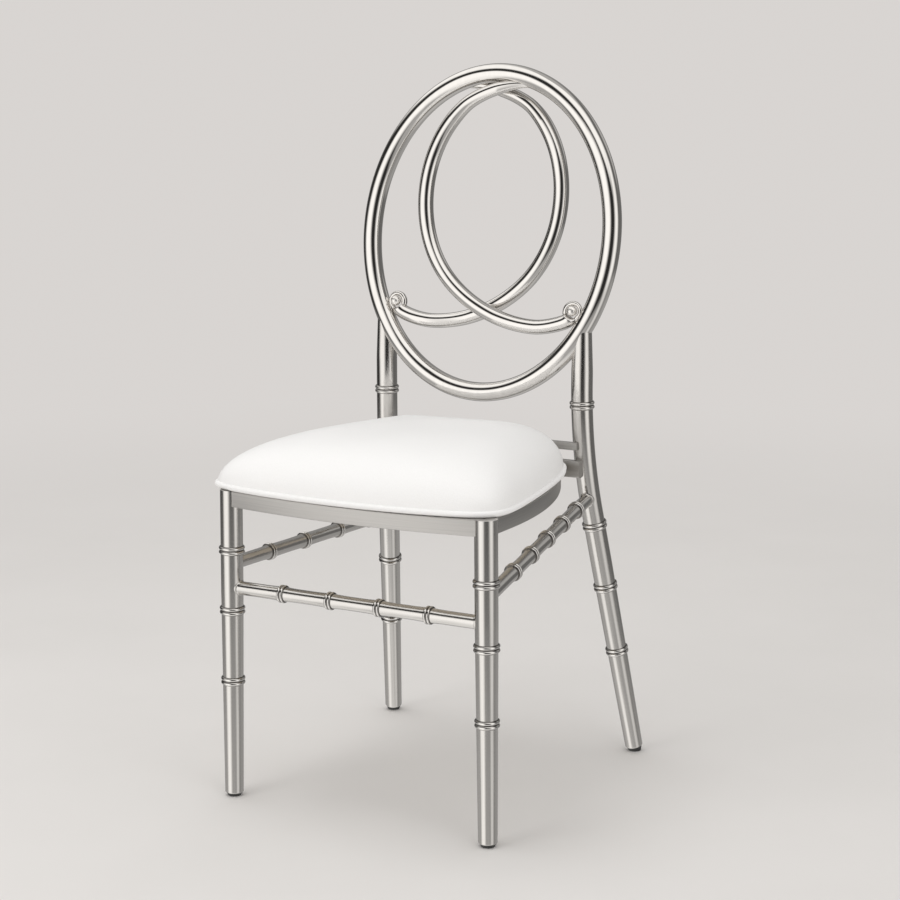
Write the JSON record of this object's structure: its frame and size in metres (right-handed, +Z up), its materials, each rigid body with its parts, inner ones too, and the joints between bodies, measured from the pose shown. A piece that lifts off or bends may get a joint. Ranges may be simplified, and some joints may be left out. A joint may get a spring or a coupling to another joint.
{
  "type": "metal dining chair",
  "caption": "Stainless steel dining chair with an oval back, crossing scroll loops, ringed legs and stretchers, and a white crowned seat pad.",
  "frame": {"origin": "Middle of the box round the chair, on the floor under the feet.", "axes": "+Z is up, the chair faces -Y, and +X is to the right as seen from the front."},
  "size_m": [0.4086, 0.4631, 0.92],
  "materials": {
    "satin_steel": "satin brushed stainless steel tube and bar",
    "polished_steel": "polished stainless steel",
    "white_leatherette": "smooth white leatherette cover over foam",
    "plywood": "plain plywood",
    "black_plastic": "moulded black plastic",
    "zinc_screw": "zinc plated steel"
  },
  "bodies": {
    "root": {"back_loop_front": "polished_steel", "back_loop_rear": "polished_steel", "back_oval": "polished_steel", "collar_front_leg_left_1": "polished_steel", "collar_front_leg_left_2": "polished_steel", "collar_front_leg_left_3": "polished_steel", "collar_front_leg_right_1": "polished_steel", "collar_front_leg_right_2": "polished_steel", "collar_front_leg_right_3": "polished_steel", "collar_rear_leg_left_1": "polished_steel", "collar_rear_leg_left_2": "polished_steel", "collar_rear_leg_left_3": "polished_steel", "collar_rear_leg_left_4": "polished_steel", "collar_rear_leg_right_1": "polished_steel", "collar_rear_leg_right_2": "polished_steel", "collar_rear_leg_right_3": "polished_steel", "collar_rear_leg_right_4": "polished_steel", "collar_stretcher_front_1": "polished_steel", "collar_stretcher_front_2": "polished_steel", "collar_stretcher_front_3": "polished_steel", "collar_stretcher_front_4": "polished_steel", "collar_stretcher_left_1": "polished_steel", "collar_stretcher_left_2": "polished_steel", "collar_stretcher_left_3": "polished_steel", "collar_stretcher_left_4": "polished_steel", "collar_stretcher_right_1": "polished_steel", "collar_stretcher_right_2": "polished_steel", "collar_stretcher_right_3": "polished_steel", "collar_stretcher_right_4": "polished_steel", "collar_stretcher_right_5": "polished_steel", "foot_glide_front_left": "black_plastic", "foot_glide_front_right": "black_plastic", "foot_glide_rear_left": "black_plastic", "foot_glide_rear_right": "black_plastic", "front_leg_left": "satin_steel", "front_leg_right": "satin_steel", "pad_stop_bar": "satin_steel", "rear_leg_left": "satin_steel", "rear_leg_right": "satin_steel", "scroll_ball_left": "polished_steel", "scroll_ball_right": "polished_steel", "seat_board": "plywood", "seat_cushion": "white_leatherette", "seat_piping": "white_leatherette", "seat_rail_front": "satin_steel", "seat_rail_left": "satin_steel", "seat_rail_rear": "satin_steel", "seat_rail_right": "satin_steel", "seat_screw_front_left": "zinc_screw", "seat_screw_front_right": "zinc_screw", "seat_screw_rear_left": "zinc_screw", "seat_screw_rear_right": "zinc_screw", "seat_tab_front_left": "satin_steel", "seat_tab_front_right": "satin_steel", "seat_tab_rear_left": "satin_steel", "seat_tab_rear_right": "satin_steel", "stretcher_front": "satin_steel", "stretcher_left": "satin_steel", "stretcher_right": "satin_steel"}
  },
  "joints": []
}
